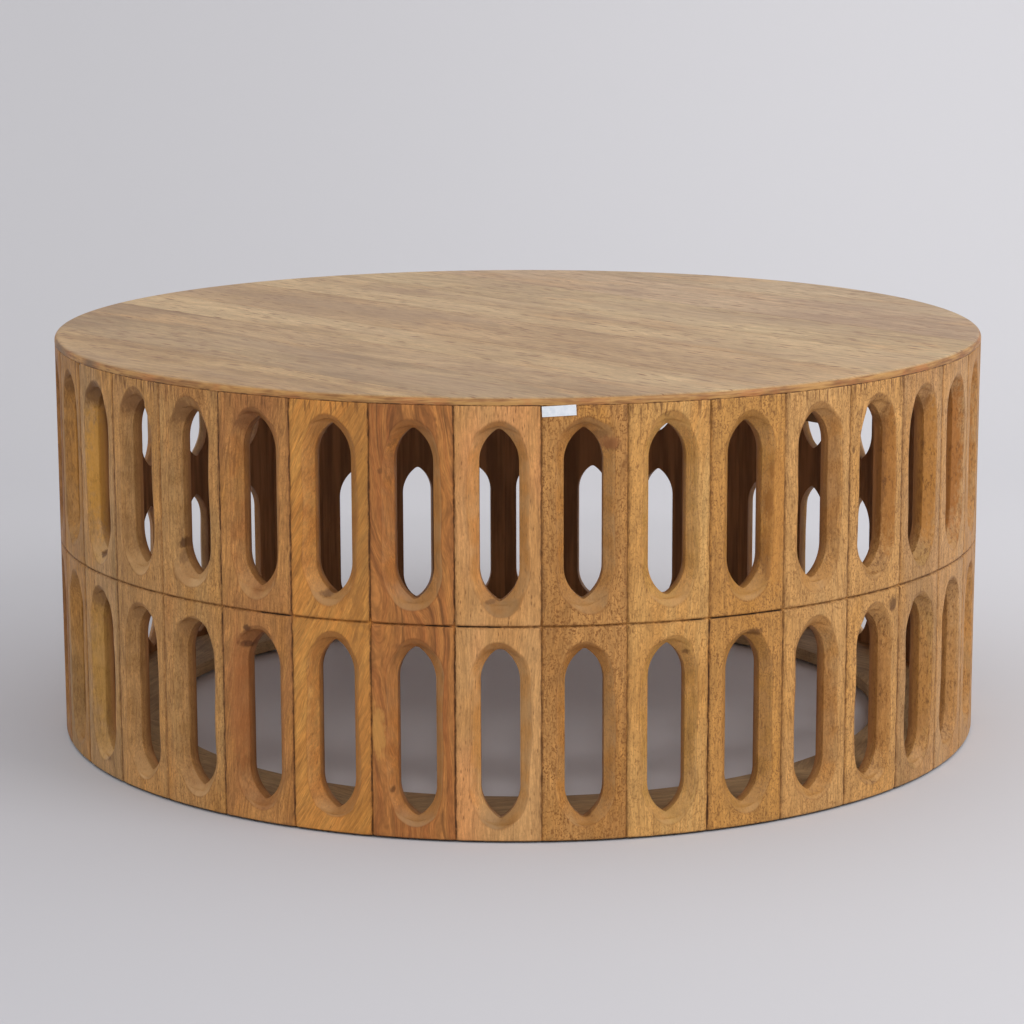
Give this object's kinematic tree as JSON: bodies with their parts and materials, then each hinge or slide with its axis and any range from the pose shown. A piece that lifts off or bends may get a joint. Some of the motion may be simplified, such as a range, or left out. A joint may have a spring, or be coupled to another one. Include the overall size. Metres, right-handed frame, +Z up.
{
  "type": "drum table",
  "caption": "Low round drum table of upright slotted staves under a flat plank top, open below, with a stiffening ring inside the feet.",
  "frame": {"origin": "on the floor, under the middle of the drum", "axes": "+Z up along the drum's axis; the front, with the small label, faces -Y"},
  "size_m": [0.9, 0.9, 0.39],
  "materials": {
    "stave_wood": "warm brown solid wood, oiled and lightly sanded, satin",
    "top_wood": "pale tan plank top, fine open pores, matt",
    "ring_wood": "plain sawn board, unfinished, matt",
    "block_wood": "plain sawn softwood, unfinished",
    "screw_steel": "zinc-plated countersunk wood screws",
    "glide_plastic": "dark moulded nylon",
    "label_paper": "plain blank white paper label"
  },
  "bodies": {
    "root": {"stave_01": "stave_wood", "stave_02": "stave_wood", "stave_03": "stave_wood", "stave_04": "stave_wood", "stave_05": "stave_wood", "stave_06": "stave_wood", "stave_07": "stave_wood", "stave_08": "stave_wood", "stave_09": "stave_wood", "stave_10": "stave_wood", "stave_11": "stave_wood", "stave_12": "stave_wood", "stave_13": "stave_wood", "stave_14": "stave_wood", "stave_15": "stave_wood", "stave_16": "stave_wood", "stave_17": "stave_wood", "stave_18": "stave_wood", "stave_19": "stave_wood", "stave_20": "stave_wood", "stave_21": "stave_wood", "stave_22": "stave_wood", "stave_23": "stave_wood", "stave_24": "stave_wood", "stave_25": "stave_wood", "stave_26": "stave_wood", "stave_27": "stave_wood", "stave_28": "stave_wood", "stave_29": "stave_wood", "stave_30": "stave_wood", "stave_31": "stave_wood", "stave_32": "stave_wood", "stave_33": "stave_wood", "stave_34": "stave_wood", "stave_35": "stave_wood", "stave_36": "stave_wood", "stave_37": "stave_wood", "stave_38": "stave_wood", "top_plank_1": "top_wood", "top_plank_2": "top_wood", "top_plank_3": "top_wood", "top_plank_4": "top_wood", "top_plank_5": "top_wood", "top_plank_6": "top_wood", "top_plank_7": "top_wood", "top_plank_8": "top_wood", "top_plank_9": "top_wood", "base_ring_segment_1": "ring_wood", "base_ring_segment_2": "ring_wood", "base_ring_segment_3": "ring_wood", "base_ring_segment_4": "ring_wood", "base_ring_segment_5": "ring_wood", "base_ring_segment_6": "ring_wood", "glue_blocks": "block_wood", "block_screws": "screw_steel", "ring_dowels": "block_wood", "floor_glides": "glide_plastic", "blank_label": "label_paper"}
  },
  "joints": []
}
